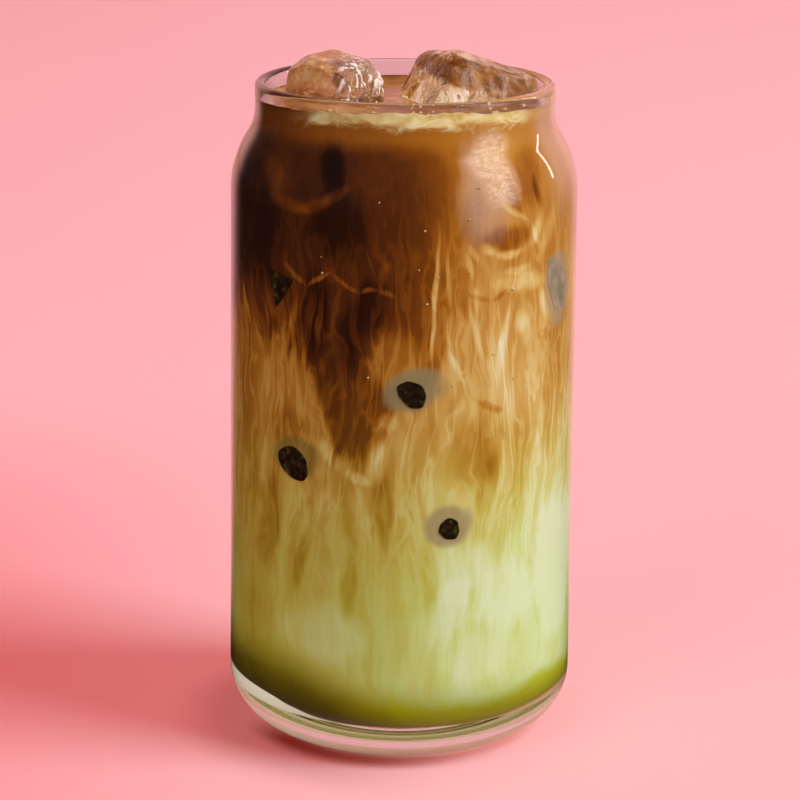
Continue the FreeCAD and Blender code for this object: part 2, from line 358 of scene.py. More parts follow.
# A block's size and place are in mm, its turn in degrees. Its slopes are cuts: a point in mm and a direction.
iceForm = {
    "rounding": 3.2 * mm,
    "draft": math.radians(6),
    "voxel": 0.42 * mm,
    "melt": 0.55 * mm,           # depth of the slow waves melted into the faces
    "blocks": {
        "left": {"size": (22.0, 20.3, 25.2), "place": (-15.8, 2.3, -3.2), "turn": (9.5, -2.0, 56.5),
                 "crackSide": (0.80, -0.60, 0.10), "crack": 0.42 * mm, "seed": 1,
                 "slopes": [((-9.6, 0, 148.8), (0.80, -0.14, 0.58)),
                            ((-20.6, 0, 148.6), (-0.52, -0.05, 0.85)),
                            ((-13, -4, 148.6), (0.1, -0.72, 0.69))]},
        "right": {"size": (26.4, 25.0, 21.8), "place": (13.6, 6.0, -2.2), "turn": (-9.6, 20.2, 21.7),
                  "crackSide": (-0.20, -0.95, 0.20), "crack": 0.26 * mm, "seed": 2,
                  "slopes": [((12, 2, 150.3), (0.38, -0.1, 0.92)),
                             ((22, -2, 146.8), (0.62, -0.5, 0.60)),
                             ((6, 0, 149.5), (-0.45, -0.55, 0.70))]},
    },
}


def iceBlock(size, rounding, draft, voxel):  # a drafted block with round edges, about the origin
    deselectAll()
    bpy.ops.mesh.primitive_cube_add(size=1, location=(0, 0, 0))
    block = bpy.context.object
    block.scale = size
    bpy.ops.object.transform_apply(scale=True)
    bpy.ops.object.mode_set(mode="EDIT")
    bpy.ops.mesh.select_all(action="DESELECT")
    mesh = bmesh.from_edit_mesh(block.data)
    for face in mesh.faces:
        face.select_set(face.normal.z > 0.9)
    bmesh.update_edit_mesh(block.data)
    lean = 2 * size[2] * math.tan(draft)
    bpy.ops.transform.resize(value=(1 - lean / size[0], 1 - lean / size[1], 1))
    bpy.ops.mesh.select_all(action="SELECT")
    bpy.ops.mesh.bevel(offset=rounding, segments=4, affect="EDGES")
    bpy.ops.object.mode_set(mode="OBJECT")
    remesh = block.modifiers.new("even", "REMESH")
    remesh.mode = "VOXEL"
    remesh.voxel_size = voxel
    applyModifiers(block)
    return block


def meltBlock(block, melt, spot):  # sloping faces, slow waves all over, and sharp cracks on one side
    mesh = bmesh.new()
    mesh.from_mesh(block.data)
    for place, normal in spot["slopes"]:
        normal = Vector(normal).normalized()
        for vertex in mesh.verts:
            above = (vertex.co - Vector(place) * mm).dot(normal)
            if above > 0:
                vertex.co -= normal * above
    mesh.normal_update()
    shift = Vector((7.3, 3.1, 5.7)) * spot["seed"]
    crackSide = Vector(spot["crackSide"]).normalized()
    moves = []
    for vertex in mesh.verts:
        place = vertex.co / mm
        slow = noise.noise(place * 0.09 + shift) + 0.45 * noise.noise(place * 0.21 + shift)
        bend = Vector((noise.noise(place * 0.12 + shift), noise.noise(place * 0.12 - shift), 0)) * 4
        crack = 1 - 2.2 * abs(noise.noise((place + bend) * 0.24 + shift * 2))
        crack += 0.5 - 1.1 * abs(noise.noise((place + bend) * 0.5 - shift))
        facing = max(0.0, vertex.normal.dot(crackSide) - 0.2) / 0.8
        moves.append(vertex.normal * (melt * slow + spot["crack"] * crack * facing ** 0.7))
    for vertex, move in zip(mesh.verts, moves):
        vertex.co += move
    mesh.to_mesh(block.data)
    mesh.free()


def makeIceMaterial():
    material, start, shader = newMaterial("clearIce", {"Transmission Weight": 1, "IOR": 1.31,
                                                       "Base Color": (1.0, 0.90, 0.76, 1)})
    place, x, _, z = objectPlace(start)
    (place.grain(0.25, 2).rise(0.5, 0.75) * 0.06).feed(shader, "Roughness")
    # A diffuse film over the clear ice: white cracks with painted glints, and amber patches of painted
    # refraction where the drink shows through
    cracksAndPaintedLight = start.node("ShaderNodeBsdfPrincipled").socket.node
    setInputs(cracksAndPaintedLight, {"Roughness": 0.25})
    chips = place.stretch(1, 1, 0.6).grain(0.26, 2, 0.6, 1.2).rise(0.54, 0.62)
    seams = place.grain(0.22, 2, 0.5, 1.0).ridge().rise(0.93, 0.98)
    mottle = place.grain(0.3, 3, 0.6)
    onLeft = x.rise(-1, -4)    # the left block
    smoothFace = onLeft * x.rise(-14.5, -17.0)
    slant = z + (x - 6.0) * 0.25 + (mottle - 0.5) * 3.0
    band = (1.0 - onLeft) * slant.rise(143.8, 145.4) * slant.rise(150.2, 149.0)    # painted refraction of the drink, across the right block
    # painted refraction: amber over the left block's smooth face and top, and in the band on the right block
    paintedAmberRefraction = smoothFace * 0.55 + (onLeft - smoothFace) * z.rise(147.6, 149.2) * 0.5 + band * 0.8
    cracked = x.rise(-15.5, -12) * onLeft + x.rise(3, 9) * (z - 146.5 + x * 0.12).rise(2.5, -1.5)
    # white cracks, partly painted glints where the cracked faces catch the light
    whiteCracksAndGlints = (cracked * (chips * 0.8 + 0.06) + seams * 0.06) * (1.0 - paintedAmberRefraction)
    dark = cracked * seams * 0.6
    tone = mottle.colours(rampOf((0.32, "8a5420"), (0.5, "b47c42"), (0.68, "dcb482")))
    tone = band.blend(tone, mottle.colours(rampOf((0.4, "6a3a08"), (0.6, "a06822"))))
    tone = (whiteCracksAndGlints / (whiteCracksAndGlints + paintedAmberRefraction + 0.01)).blend(tone, (1.0, 0.90, 0.84))
    (dark * 1.6).clamp().blend(tone, linear("7a4a18")).feed(cracksAndPaintedLight, "Base Color")
    film = (whiteCracksAndGlints + paintedAmberRefraction + dark).clamp() * z.rise(139.5, 141.5)    # only above the drink
    passLight(start, shader, 1.0, cracksAndPaintedLight=(film, cracksAndPaintedLight))
    return material


iceMaterial = makeIceMaterial()


def makeFloatingIce(side, spot, form):
    block = iceBlock([s * mm for s in spot["size"]], form["rounding"], form["draft"], form["voxel"])
    block.rotation_euler = Euler([math.radians(a) for a in spot["turn"]], "XYZ")
    block.location = (spot["place"][0] * mm, spot["place"][1] * mm, level + spot["place"][2] * mm)
    settle(block, f"iceBlock_{side}")
    meltBlock(block, form["melt"], spot)
    makeActive(block)
    bpy.ops.object.shade_smooth()
    block.data.materials.append(iceMaterial)
    finishPiece(block, "ice", f"ice_{side}")
    return block


floatingIce = [makeFloatingIce(side, spot, iceForm) for side, spot in iceForm["blocks"].items()]
print("floating ice made")

drinkForm = {
    "reachIntoWall": 0.1 * mm,
    "meniscus": 1.4 * mm,        # how far the drink climbs the glass
    "meniscusWidth": 1.2 * mm,
    "iceOverlap": 0.12 * mm,
    "foamRise": 1.7 * mm,        # height of the foam that gathers at the front wall
    "foamMiddle": 5,             # degrees round from the front
    "foamSpread": 46,
    "foamWidth": 3.4 * mm,
    "rings": 40,
}


def cutWith(piece, tool, operation):
    cut = piece.modifiers.new("cut", "BOOLEAN")
    cut.operation = operation
    cut.object = tool
    cut.solver = "EXACT"
    makeActive(piece)
    bpy.ops.object.modifier_apply(modifier=cut.name)
    bpy.data.objects.remove(tool)


def shrunkCopy(piece, depth):
    tool = copyOf(piece, f"{piece.name}_tool")
    tool.parent = None
    makeActive(tool)
    bpy.ops.object.mode_set(mode="EDIT")
    bpy.ops.mesh.select_all(action="SELECT")
    bpy.ops.transform.shrink_fatten(value=-depth)
    bpy.ops.object.mode_set(mode="OBJECT")
    return tool


def aroundFront(place):  # degrees round from the front, positive to the right
    return math.degrees(math.atan2(place.x, -place.y))


def liquidBody(form, name, extra=0.0):
    reach = form["reachIntoWall"] + extra
    inset = glassForm["wall"] - reach
    floor = glassForm["baseThickness"] - reach
    side = canOutline(glassForm, inset, floor, glassForm["boreHeelRadius"] + reach, level + form["meniscus"])
    neck = side[-1][0]
    surface = []
    for i in range(1, form["rings"] + 1):
        r = neck * (1 - i / form["rings"])
        surface.append((r, level + form["meniscus"] * math.exp((r - neck) / form["meniscusWidth"])))
    floorRows = [(side[0][0] * i / 8, floor) for i in range(8)]
    return lathe(name, floorRows + side + surface, glassForm["steps"]), neck


def raiseFoam(piece, form, neck):  # lifts the surface near the front wall, where foam gathers
    for vertex in piece.data.vertices:
        if vertex.co.z < level - 0.01 * mm:
            continue
        turn = (aroundFront(vertex.co) - form["foamMiddle"]) / form["foamSpread"]
        gap = (neck - math.hypot(vertex.co.x, vertex.co.y)) / form["foamWidth"]
        lump = 0.82 + 0.5 * noise.noise(vertex.co / mm * 0.35)
        vertex.co.z += form["foamRise"] * lump * math.exp(-turn * turn - gap * gap)


def makeDrink(form):
    drink, neck = liquidBody(form, "drink")
    raiseFoam(drink, form, neck)
    for block in floatingIce:
        cutWith(drink, shrunkCopy(block, form["iceOverlap"]), "DIFFERENCE")
    return drink, neck


drink, neckRadius = makeDrink(drinkForm)
print("drink poured")

# Ends of the ice blocks that lie sunk in the drink and press against the wall. Each row is degrees round from
# the front, height, corners of the end, half width, half height and lean, in mm and degrees, then the halo of
# melted water in the drink round it: how many times wider than the end, how strong, and its colour.
sunkForm = {
    "depth": 7 * mm,
    "proud": 0.14 * mm,
    "ends": [
        (-39, 66.5, 8, 4.7, 3.1, 38, 1.3, 0.55, "5d5a26"),
        (3.3, 83.8, 7, 3.4, 2.6, 30, 1.75, 0.85, "968a64"),
        (16.5, 54.2, 7, 2.5, 2.2, 35, 1.7, 0.75, "a08a6c"),
        (63, 103.6, 6, 3.6, 6.6, -32, 1.2, 0.60, "a79a80"),
        (-45.5, 104.2, 3, 3.9, 2.9, -78, 1.0, 0.0, "000000"),
        (104, 74, 6, 5.0, 3.4, 20, 1.6, 0.6, "968a64"),
        (141, 99, 6, 3.4, 4.6, -25, 1.2, 0.5, "5d5a26"),
        (163, 58, 8, 2.6, 3.8, 30, 1.8, 0.7, "968a64"),
        (-166, 82, 6, 4.4, 3.6, 15, 1.3, 0.5, "5d5a26"),
        (-128, 62, 6, 4.2, 2.6, -20, 1.9, 0.7, "a08a6c"),
        (-98, 94, 5, 4.8, 4.0, 40, 1.2, 0.5, "5d5a26"),
    ],
}


def sunkEnd(form, row):
    degrees, height, corners, halfWidth, halfHeight, lean = row[:6]
    deselectAll()
    bpy.ops.mesh.primitive_cylinder_add(vertices=48, radius=1, depth=1)
    end = bpy.context.object
    for vertex in end.data.vertices:    # rounds the corners of the outline
        angle = math.atan2(vertex.co.y, vertex.co.x)
        sides = (max(0.0, math.cos(angle - 2 * math.pi * i / corners)) for i in range(corners))
        reach = sum(side ** 12 for side in sides) ** (-1 / 12)
        reach *= math.cos(math.pi / corners) ** 0.5
        reach *= 1 + 0.07 * math.sin(angle * 2 + degrees) + 0.05 * math.sin(angle * 3 - height)
        vertex.co.x, vertex.co.y = reach * math.cos(angle), reach * math.sin(angle)
    end.scale = (halfWidth * mm, halfHeight * mm, form["depth"])
    bpy.ops.object.transform_apply(scale=True)
    turn = math.radians(degrees)
    radius = bodyRadius - glassForm["wall"] - form["depth"] / 2 + 1 * mm
    upright = Matrix.Rotation(turn, 4, "Z") @ Matrix.Rotation(math.pi / 2, 4, "X")
    end.matrix_world = (Matrix.Translation((radius * math.sin(turn), -radius * math.cos(turn), height * mm))
                        @ upright @ Matrix.Rotation(math.radians(-lean), 4, "Z"))
    return settle(end, "sunkEnd")


def makeSunkIce(form):
    ice = joinAll([sunkEnd(form, row) for row in form["ends"]], "sunkIce")
    shell, _ = liquidBody(drinkForm, "shell", form["proud"])
    cutWith(ice, shell, "INTERSECT")
    material, start, shader = newMaterial("sunkIceEnds", {"Roughness": 0.3, "Specular IOR Level": 0.1})
    place, x, _, z = objectPlace(start)
    # painted shade: the clear ice ends are coloured dark brown to black, for the unlit inside of the drink
    # that shows through them
    mottle = place.grain(0.7, 3, 0.6)
    colour = mottle.colours(rampOf((0.40, "0a0300"), (0.55, "241a04"), (0.74, "56500f")))
    grey = place.grain(0.25, 2).colours(rampOf((0.3, "85765a"), (0.7, "bca68e")))
    highOnRight = x.rise(26, 29) * z.rise(92, 95)    # one end there is clouded
    highOnRight.blend(colour, grey).feed(shader, "Base Color")
    ice.data.materials.append(material)
    makeActive(ice)
    bpy.ops.object.shade_smooth_by_angle(angle=math.radians(40))
    finishPiece(ice, "ice")


makeSunkIce(sunkForm)
print("sunk ice pressed to the wall")

# From the axis to the drink's side, in mm
wallReach = (bodyRadius - glassForm["wall"] + drinkForm["reachIntoWall"]) / mm

# Marks in the drink, in mm on its front wall. "clouds" are soft: x, height, half width, half height, lean in
# degrees and change in milkiness. "threads" are thin: from x and height to x and height, half width and
# change in milkiness. The curves after them have values from 0 to 1: those with Round in their names go by
# degrees round from the front, those with Up by mm above the table and those with Across by mm to the right.
drinkLook = {
    "clouds": [
        (-31, 118, 8, 16, 0, -0.10), (-13, 119, 7, 8, 0, -0.10), (-15.5, 131, 3.2, 6, 0, -0.20),
        (-18, 99, 3.2, 9, 0, -0.12), (-9, 98, 4.0, 12, 20, -0.14), (-3, 92, 7, 6, 30, 0.16),
        (-28, 128, 5, 8, 0, 0.05), (-30, 100, 7, 6, 0, 0.05), (-31, 74, 1.6, 24, 0, -0.10),
        (-24, 73, 5, 5, 30, -0.10), (-27, 52, 2.6, 12, 5, -0.13), (-3, 60, 2.4, 9, -5, -0.14),
        (-10, 58, 2.0, 9, 0, -0.06), (6, 104, 5, 22, 0, 0.04), (21, 116, 5.5, 2.6, 8, -0.16),
        (15, 110, 5.5, 6, 0, 0.04), (24, 106.5, 6.5, 2.2, 8, 0.16), (20, 80, 3.4, 20, 0, 0.12),
        (16.5, 71, 6.2, 9, 12, -0.16), (17, 62, 2.2, 7, 10, -0.10), (28, 62, 3, 18, 0, 0.08),
        (13, 45, 7, 7, 0, 0.11), (22, 37, 9, 8, 20, 0.12), (10, 35, 5, 8, 20, 0.10),
        (17, 25, 9, 6, 0, 0.07), (33, 42, 6, 16, 0, 0.24), (-4.5, 69, 2.4, 4.5, 15, 0.14),
        (6, 44, 2.0, 9, 0, -0.07), (1, 44, 3, 12, 0, -0.05), (-17, 29, 9, 8, 0, 0.10),
        (-30, 28, 6, 10, 0, -0.06), (20, 133, 5, 14, 4, 0.12), (-20, 43, 1.5, 7, 8, -0.14),
        (-11, 42, 1.4, 8, 0, -0.13), (25, 128, 4, 7, 0, -0.14), (17, 123, 5, 8, 20, -0.10),
        (32, 90, 5, 14, 0, -0.06),
    ],
    "threads": [
        (-28, 133, -25, 121, 1.8, 0.10), (-27, 123, -19, 119.5, 1.4, 0.10),
        (-23, 119, -15, 124.5, 1.3, 0.11), (-19, 122, -11, 127, 1.2, 0.11),
        (-24, 109, -20, 105, 0.5, 0.16), (-20, 105, -15.5, 108.5, 0.5, 0.26),
        (-15.5, 108.5, -9, 105, 0.5, 0.16), (-9, 105, -6.5, 106.5, 0.5, 0.26),
        (-6.5, 106.5, -2.5, 104.5, 0.5, 0.16), (-6, 106, -4, 113, 0.7, 0.12),
        (-19, 105, -19.5, 94, 0.8, 0.14), (-21, 104, -23, 92, 0.9, 0.12), (-17, 104, -17.5, 93, 0.7, 0.14),
        (5.6, 118.5, 5.8, 88, 0.45, 0.34), (7.5, 115, 9.2, 102, 0.6, 0.16), (9.2, 102, 8.4, 93, 0.6, 0.14),
        (8.4, 93, 11.5, 85, 0.6, 0.14), (12, 116, 14.5, 108, 0.8, 0.14), (14.5, 108, 15, 100, 0.7, 0.12),
        (18, 113, 24, 112.5, 0.9, 0.20), (24, 112.5, 28, 121, 1.0, 0.20), (16, 116, 18, 113, 0.9, 0.18),
        (19, 109.5, 26, 109, 0.8, 0.16), (26, 109, 31, 124, 1.0, 0.12), (13, 105, 18, 103.5, 0.7, -0.10),
        (18, 103.5, 21, 105.5, 0.7, -0.10), (27, 105, 29, 96, 0.9, 0.16), (24, 100, 25.5, 90, 0.8, 0.14),
        (-18, 72, -11.5, 65.5, 1.6, 0.16), (-11.5, 65.5, -5.5, 64.5, 1.2, 0.16),
        (-14, 63, -17, 53, 1.4, 0.10), (-9, 64, -7.5, 52, 1.6, 0.10), (-5.5, 66, -4.2, 80, 1.4, 0.16),
        (-4.5, 80, -1, 76, 1.8, 0.14), (-1, 78, 2, 66, 1.6, 0.08), (6, 80, 9, 66, 0.9, -0.08),
        (9, 82, 11, 70, 0.8, -0.08), (13, 82, 21, 77, 0.8, -0.14), (24.5, 80, 23.5, 54, 2.2, -0.12),
        (30, 84, 29.5, 66, 1.4, -0.10), (20, 123, 25, 118, 0.6, 0.18), (25, 118, 26.5, 112, 0.6, 0.18),
        (12.6, 116.4, 15.8, 111.9, 0.6, 0.14), (26, 128, 27.5, 120, 0.7, -0.18),
        (21.5, 127, 23, 119, 0.8, -0.14), (13, 103, 16, 90, 0.8, 0.12), (21, 98, 19, 84, 0.8, 0.10),
        (23, 104, 20, 90, 0.9, 0.12),
    ],
    "rim": 144.0,                # mm above the table, which coffeeFootRound is a share of
    "coffeeFootRound": [(-180, 0.62), (-135, 0.66), (-90, 0.67), (-44, 0.65), (-35, 0.62), (-27, 0.53),
                        (-13, 0.465), (0, 0.57), (10, 0.60), (20, 0.71), (34, 0.73), (57, 0.77), (90, 0.78),
                        (135, 0.66), (180, 0.62)],
    "coffeeMilkRound": [(-180, 0.18), (-135, 0.12), (-90, 0.17), (-45, 0.17), (-20, 0.20), (-5, 0.24),
                        (8, 0.30), (20, 0.47), (40, 0.57), (70, 0.56), (90, 0.50), (135, 0.30), (180, 0.18)],
    "coffeeMilkUp": [(0, 0.9), (80, 0.9), (92, 0.6), (104, 0.2), (116, 0), (144, 0)],
    "milkUp": [(0, 0.80), (20, 0.78), (40, 0.74), (60, 0.66), (80, 0.60), (100, 0.54), (144, 0.5)],
    "fineThreadsUp": [(0, 0), (35, 0.2), (60, 0.8), (80, 1), (105, 0.8), (125, 0.25), (144, 0)],
    "crownRound": [(-180, 0.5), (-75, 0.45), (-58, 0.55), (-45, 0.75), (-28, 1), (50, 1), (180, 0.5)],
    "greenUp": [(0, 0.95), (20, 0.92), (35, 0.85), (45, 0.7), (57, 0.5), (68, 0.26), (84, 0.05), (144, 0)],
    "teaTopRound": [(-180, 0.36), (-150, 0.40), (-120, 0.55), (-75, 0.74), (-55, 0.80), (-38, 0.76),
                    (-16, 0.62), (0, 0.56), (20, 0.53), (37, 0.58), (65, 0.66), (100, 0.55), (150, 0.38),
                    (180, 0.36)],
    "teaHighest": 26.0,          # mm above the table, which teaTopRound is a share of
    "teaToneAcross": [(-36, 0.02), (-24, 0.06), (-14, 0.22), (-4, 0.50), (6, 0.68), (16, 0.74), (26, 0.72),
                      (36, 0.60)],
    "foamRound": [(-180, 0.2), (-55, 0.0), (-42, 0.25), (-34, 0.9), (-10, 1), (48, 1), (58, 0.3), (180, 0.2)],
    "wallRound": [(-180, 0), (-112, 0), (-96, 0.8), (-80, 0.8), (-70, 0), (52, 0), (68, 0.7), (96, 0.8),
                  (112, 0), (180, 0)],
    "undersideRound": [(-180, 0.3), (-110, 0.8), (-75, 1.0), (-45, 0.5), (-12, 0), (20, 0), (60, 0.3),
                       (90, 0.5), (180, 0.3)],
    "glowAcross": [(-36, 0.1), (-24, 0.2), (-8, 0.8), (36, 1)],
    "coffee": rampOf((0.0, "1a0801"), (0.12, "2f1303"), (0.25, "5c2c09"), (0.38, "86480b"), (0.50, "b06d1e"),
                     (0.62, "c88d3e"), (0.74, "daab5e"), (0.86, "e8ca88"), (1.0, "f2e6c6")),
    "greenMilk": rampOf((0.2, "4b4408"), (0.45, "9a8f1a"), (0.6, "b8b232"), (0.74, "c8cd5c"),
                        (0.86, "d4e38e"), (0.98, "e4f1be")),
    "greenTea": rampOf((0.0, "2a2206"), (0.3, "6e5e08"), (0.55, "9c9010"), (0.8, "bcbc16"), (1.0, "c6d63a")),
    "foam": rampOf((0.3, "bd8c44"), (0.5, "dfc080"), (0.7, "eedeac")),
    "hollow": rampOf((0.38, "7a4210"), (0.5, "c08a50"), (0.64, "f2dcc0")),
    "surface": rampOf((0.25, "6f3d0f"), (0.5, "9a5f1f"), (0.68, "c08c46"), (0.85, "dcbc82")),
}


def frontWall(x, height):  # the wall point in mm at a sideways distance from the middle of the front
    x = max(-wallReach * 0.98, min(wallReach * 0.98, x))
    return (x, -math.sqrt(wallReach * wallReach - x * x), height)


def softSpot(place, spot, size, lean):  # 1 in the middle of an egg-shaped space, 0 at its skin
    local = place.node("ShaderNodeMapping", {"vector_type": "TEXTURE"},
                       {"Vector": place, "Location": spot, "Rotation": (0, lean, 0), "Scale": size})
    return local.node("ShaderNodeTexGradient", {"gradient_type": "SPHERICAL"}, {"Vector": local})


def cloudMask(place, rough, x, height, halfWidth, halfHeight, lean):
    size = (halfWidth * 1.3, 14, halfHeight * 1.3)
    return (softSpot(place, frontWall(x, height), size, math.radians(lean)) + rough).rise(0.0, 0.6)


def threadMask(place, x0, z0, x1, z1, halfWidth):
    middle = frontWall((x0 + x1) / 2, (z0 + z1) / 2)
    length = math.hypot(x1 - x0, z1 - z0)
    lean = math.atan2(z0 - z1, x1 - x0)
    return softSpot(place, middle, (length * 0.62, 10, halfWidth * 1.5), lean).rise(0.0, 0.7)


def drinkFlow(start):  # the place on the drink, and the drift, streaks and clouds that its layers share
    place, x, y, z = objectPlace(start)
    drift = place.stretch(1, 1, 0.5).grain(0.05, 3, 0.55, out=1).vector("SUBTRACT", (0.5, 0.5, 0.5))
    wavy = drift.vector("MULTIPLY_ADD", (9, 9, 9), place)
    wavier = drift.vector("MULTIPLY_ADD", (16, 16, 12), place)
    turn = x.math("ARCTAN2", y * -1.0) * (180 / math.pi)
    streak = wavier.stretch(1, 1, 0.11).grain(0.17, 5, 0.6, 0.1) - 0.5
    fine = wavy.stretch(1, 1, 0.07).grain(0.55, 5, 0.65, 0.2) - 0.5
    cloudy = wavier.stretch(1, 1, 0.6).grain(0.09, 3, 0.55) - 0.5
    return SimpleNamespace(place=place, x=x, y=y, z=z, turn=turn, right=x.rise(-30, 30), drift=drift,
                           wavy=wavy, wavier=wavier, streak=streak, fine=fine, cloudy=cloudy,
                           rough=fine * 0.5 + cloudy * 0.3)


def milkiness(flow, look):  # 0 in black coffee, 1 in milk
    coffeeFoot = flow.turn.follow(*look["coffeeFootRound"]) * look["rim"]
    dark = (flow.z - coffeeFoot + flow.streak * 34.0 + flow.fine * 16.0).rise(-4, 5)
    inCoffee = flow.turn.follow(*look["coffeeMilkRound"]) + flow.z.follow(*look["coffeeMilkUp"]) * 0.10
    inMilk = flow.z.follow(*look["milkUp"]) + flow.right * 0.18 - 0.07
    milky = dark * inCoffee + (1.0 - dark) * inMilk
    milky = milky + flow.cloudy * 0.22 + flow.streak * 0.30 * (1.0 - dark) + flow.fine * 0.10
    fineThread = flow.wavier.stretch(1, 1, 0.10).grain(0.34, 3, 0.5, 0.3).ridge().rise(0.82, 0.98)
    milky = milky + fineThread * flow.z.follow(*look["fineThreadsUp"]) * 0.10
    for *cloud, change in look["clouds"]:
        milky = cloudMask(flow.wavy, flow.rough, *cloud).math("MULTIPLY_ADD", change, milky)
    curl = milky * 3.0 + 7.5    # threads curl more where the drink is milkier
    bent = flow.drift.scaled(curl).vector("ADD", flow.place)
    for *thread, change in look["threads"]:
        milky = threadMask(bent, *thread).math("MULTIPLY_ADD", change, milky)
    crown = (flow.z + flow.streak * 3.0).rise(131.5, 136.5) * flow.turn.follow(*look["crownRound"])
    return milky * (1.0 - crown * 0.8) + crown * (flow.right * 0.10 + 0.36)    # the even band under the foam


def layerColours(flow, look, milky):  # coffee over milk, milk over green tea
    green = flow.z.follow(*look["greenUp"]) * (flow.right * 0.5 + 0.70)
    green = (green + flow.streak * 0.8 * flow.z.rise(75, 55)).clamp()
    colour = green.blend(milky.colours(look["coffee"]), milky.colours(look["greenMilk"]))
    teaTop = flow.turn.follow(*look["teaTopRound"]) * look["teaHighest"]
    teaTop = teaTop + flow.cloudy * 6.0 + flow.streak * 5.0
    tea = (teaTop - flow.z).rise((1.0 - flow.right) * -7.0 - 1.5, 2.5)
    teaTone = (flow.z - 9.0) * 0.035 + flow.cloudy * 0.3 + flow.x.follow(*look["teaToneAcross"])
    return tea.blend(colour, teaTone.colours(look["greenTea"]))


def addHalos(colour, flow):  # melted water in the drink round the sunk ends
    for degrees, height, _, halfWidth, halfHeight, _, wider, strength, tone in sunkForm["ends"]:
        if strength > 0:
            turn = math.radians(degrees)
            spot = (wallReach * math.sin(turn), -wallReach * math.cos(turn), height + 1.4 * (wider - 1))
            size = (halfWidth * wider * 1.35, halfWidth * wider * 1.6, halfHeight * wider * 1.45)
            halo = (softSpot(flow.wavy, spot, size, 0) + flow.rough * 0.25).rise(0.10, 0.42)
            colour = (halo * strength).blend(colour, linear(tone))
    return colour


def addNeck(colour, flow, look):
    milkAndPaintedSheen = softSpot(flow.wavy, frontWall(17, 127), (9, 16, 16), 0.15)    # pale milk under the shoulder, with a painted reflection of the soft box over it
    colour = ((milkAndPaintedSheen + flow.rough * 0.6).rise(0.1, 0.6) * 0.5).blend(colour, linear("dcb698"))
    lace = flow.place.stretch(0.5, 0.5, 1).grain(0.45, 4, 0.6, 0.6)
    foam = (flow.z + (lace - 0.5) * 6.0).rise(137.4, 139.8) * flow.turn.follow(*look["foamRound"])
    colour = foam.blend(colour, lace.colours(look["foam"]))
    radius = (flow.x * flow.x + flow.y * flow.y).math("SQRT")
    hollow = radius.rise(29.4, 28.6) * flow.z.rise(104, 108)    # the hollows that hold the floating ice
    colour = hollow.blend(colour, flow.place.grain(0.2, 3).colours(look["hollow"]))
    wall = flow.x.rise(6, 18).blend(linear("b98a62"), linear("dca58c"))    # painted refraction: the glass wall seen edge on beside the drink, pale with the backdrop behind it
    beside = flow.turn.follow(*look["wallRound"]) * flow.z.rise(112, 130) * (1.0 - foam)
    return beside.blend(colour, wall)


def paintUndersideLight(colour, flow, look, start, shader):  # painted light: a pale colour and a glow on the drink's underside, for the light that the thick base brings
    top = flow.turn.follow(*look["undersideRound"]) * 4.0 + 8.7
    inFoot = rayIs(start, "Glossy") * (1.0 - rayIs(start, "Transmission")) * flow.z.rise(20, 15)
    under = ((flow.z - top).rise(0, -0.6) + inFoot).clamp()    # with its image, which the foot mirrors
    under.blend(colour, flow.right.blend(linear("fff0d8"), linear("c8a878"))).feed(shader, "Base Color")
    # a painted glow on the underside, as if lit through the base
    glow = flow.x.follow(*look["glowAcross"]).blend((0.44, 0.44, 0.34), (0.30, 0.16, 0.10))
    under.blend((0, 0, 0), glow).feed(shader, "Emission Color")


def makeDrinkMaterial(look):
    material, start, shader = newMaterial("layeredDrink", {"Roughness": 0.35, "Specular IOR Level": 0.06,
                                                           "Emission Strength": 1.0})
    material.cycles.emission_sampling = "NONE"
    flow = drinkFlow(start)
    colour = layerColours(flow, look, milkiness(flow, look))
    colour = addHalos(colour, flow)
    colour = addNeck(colour, flow, look)
    paintUndersideLight(colour, flow, look, start, shader)
    return material


def makeSurfaceMaterial(look):
    material, start, shader = newMaterial("drinkSurface", {"Roughness": 0.12, "Specular IOR Level": 0.3})
    place, _, y, z = objectPlace(start)
    colour = place.grain(0.10, 4, 0.55, 1.2).colours(look["surface"])
    froth = (z - 139.6 + place.grain(0.8, 3)).rise(0.3, 0.9) * y.rise(0, -14)
    froth.blend(colour, linear("dfc58e")).feed(shader, "Base Color")
    ripple = {"Strength": 0.25, "Distance": 0.4 * mm, "Height": place.grain(0.5, 3)}
    start.node("ShaderNodeBump", {}, ripple).feed(shader, "Normal")
    return material


def dressDrink():
    drink.data.materials.append(makeDrinkMaterial(drinkLook))
    drink.data.materials.append(makeSurfaceMaterial(drinkLook))
    for face in drink.data.polygons:
        face.material_index = int(face.center.z > level - 0.05 * mm and face.normal.z > 0.3)
    finishPiece(drink, "coffee", "coffee_layer", "milk_layer", "green_tea_layer")


dressDrink()
print("drink coloured")

frothForm = {
    "wallBeads": 24,
    "wallArc": (-32, 46, 16),    # degrees round from the front: from, to and where the most are
    "iceBeads": 40,
    "surfaceBeads": 50,
    "speckBeads": 18,
    "speckArc": (14, 22),        # degrees round from the front, and their spread
    "wallBeadSize": (0.18, 0.45),    # least and greatest radius in mm, as in the next three
    "iceBeadSize": (0.2, 0.6),
    "surfaceBeadSize": (0.15, 0.5),
    "speckSize": (0.12, 0.3),
    "speckHeights": (84, 134),
    "shoulderFoot": 120,         # mm, above which the specks follow the shoulder in
    "shoulderBend": 1.6,
}


def bead():
    deselectAll()
    bpy.ops.mesh.primitive_uv_sphere_add(segments=8, ring_count=5, radius=1)
    bpy.ops.object.shade_smooth()
    return bpy.context.object


def scatterBeads(name, spots):  # spots are (x, y, z, radius) in mm
    first = bead()
    beads = []
    for x, y, z, radius in spots:
        twin = copyOf(first, "bead")
        twin.matrix_world = Matrix.Translation((x * mm, y * mm, z * mm)) @ Matrix.Diagonal(
            (radius * mm, radius * mm, radius * mm * 0.85, 1))
        beads.append(twin)
    bpy.data.objects.remove(first)
    return joinAll(beads, name)


